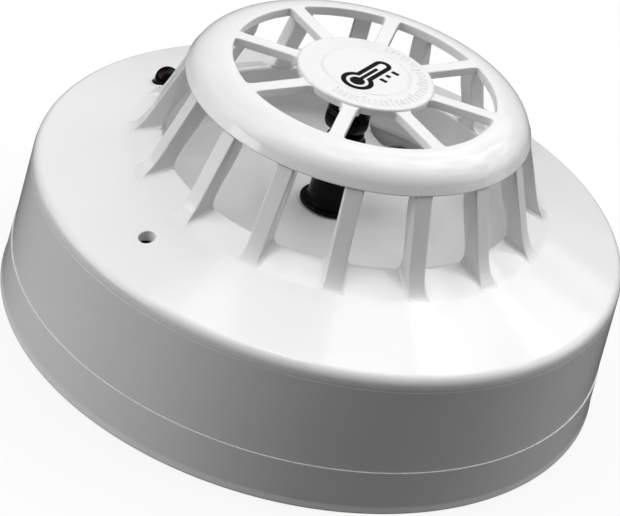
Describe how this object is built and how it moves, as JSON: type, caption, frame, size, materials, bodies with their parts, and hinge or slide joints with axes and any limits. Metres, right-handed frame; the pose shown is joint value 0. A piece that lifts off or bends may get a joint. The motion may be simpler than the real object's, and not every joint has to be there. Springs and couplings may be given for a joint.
{
  "type": "heat detector",
  "caption": "Round ceiling heat detector: a twist-on head with an open finned sensing cage over a central thermistor, on a shallow mounting base.",
  "frame": {"origin": "centre of the base's flat mounting face", "axes": "+Z out of the mounting face, through the cage; +X along the line of the two fixing slots; the small hole over the locking screw lies towards -X-Y (azimuth -129 degrees)"},
  "size_m": [0.1, 0.1, 0.0474],
  "materials": {
    "base_plastic": "smooth satin white moulding",
    "cover_plastic": "smooth glossy white moulding",
    "chassis_plastic": "satin white moulding",
    "spring_steel": "bright rolled stainless strip",
    "terminal_steel": "zinc-plated steel",
    "seal_rubber": "matt pale grey rubber",
    "board_laminate": "green solder-masked laminate",
    "capacitor_sleeve": "dark shrink sleeve",
    "chip_epoxy": "matt black moulded epoxy",
    "resistor_body": "lacquered tan body",
    "diode_body": "black moulded body",
    "bead_epoxy": "dipped dark epoxy",
    "holder_plastic": "glossy black moulding",
    "tip_epoxy": "glossy black epoxy",
    "tinned_wire": "tinned copper wire",
    "led_lens": "polished, almost black tinted lens",
    "head_screw_steel": "plated steel",
    "grub_screw_steel": "blackened steel"
  },
  "bodies": {
    "base": {"base_moulding": "base_plastic", "contact_spring_1": "spring_steel", "contact_spring_2": "spring_steel", "contact_spring_3": "spring_steel", "contact_spring_4": "spring_steel"},
    "terminal_1": {"terminal_screw_1": "terminal_steel", "terminal_clamp_1": "terminal_steel"},
    "terminal_2": {"terminal_screw_2": "terminal_steel", "terminal_clamp_2": "terminal_steel"},
    "terminal_3": {"terminal_screw_3": "terminal_steel", "terminal_clamp_3": "terminal_steel"},
    "terminal_4": {"terminal_screw_4": "terminal_steel", "terminal_clamp_4": "terminal_steel"},
    "terminal_5": {"terminal_screw_5": "terminal_steel", "terminal_clamp_5": "terminal_steel"},
    "seal": {"seal_ring": "seal_rubber"},
    "head": {"front_cover": "cover_plastic", "rear_chassis": "chassis_plastic", "contact_stud_1": "spring_steel", "contact_stud_2": "spring_steel", "contact_stud_3": "spring_steel", "contact_stud_4": "spring_steel", "circuit_board": "board_laminate", "smoothing_capacitor": "capacitor_sleeve", "amplifier_ic": "chip_epoxy", "alarm_transistor": "chip_epoxy", "resistor_1": "resistor_body", "resistor_2": "resistor_body", "resistor_3": "resistor_body", "resistor_4": "resistor_body", "diode_1": "diode_body", "diode_2": "diode_body", "surge_suppressor": "diode_body", "reference_thermistor": "bead_epoxy", "thermistor_holder": "holder_plastic", "thermistor_tip": "tip_epoxy", "thermistor_lead_1": "tinned_wire", "thermistor_lead_2": "tinned_wire", "alarm_led": "led_lens", "led_lead_1": "tinned_wire", "led_lead_2": "tinned_wire", "head_screw_1": "head_screw_steel", "head_screw_2": "head_screw_steel"},
    "lock_screw": {"locking_grub_screw": "grub_screw_steel"}
  },
  "joints": [
    {"name": "head_twist", "type": "hinge", "parent": "base", "child": "seal", "pos_m": [0, 0, 0.0068], "axis": [0, 0, 1], "range_deg": [-15, 0]},
    {"name": "head_lift", "type": "slide", "parent": "seal", "child": "head", "axis": [0, 0, 1], "range_m": [0, 0.03]},
    {"name": "lock_screw_travel", "type": "slide", "parent": "head", "child": "lock_screw", "axis": [0, 0, -1], "range_m": [0, 0.0025]},
    {"name": "terminal_1_travel", "type": "slide", "parent": "base", "child": "terminal_1", "axis": [0, 0, 1], "range_m": [0, 0.0015]},
    {"name": "terminal_2_travel", "type": "slide", "parent": "base", "child": "terminal_2", "axis": [0, 0, 1], "range_m": [0, 0.0015]},
    {"name": "terminal_3_travel", "type": "slide", "parent": "base", "child": "terminal_3", "axis": [0, 0, 1], "range_m": [0, 0.0015]},
    {"name": "terminal_4_travel", "type": "slide", "parent": "base", "child": "terminal_4", "axis": [0, 0, 1], "range_m": [0, 0.0015]},
    {"name": "terminal_5_travel", "type": "slide", "parent": "base", "child": "terminal_5", "axis": [0, 0, 1], "range_m": [0, 0.0015]}
  ]
}
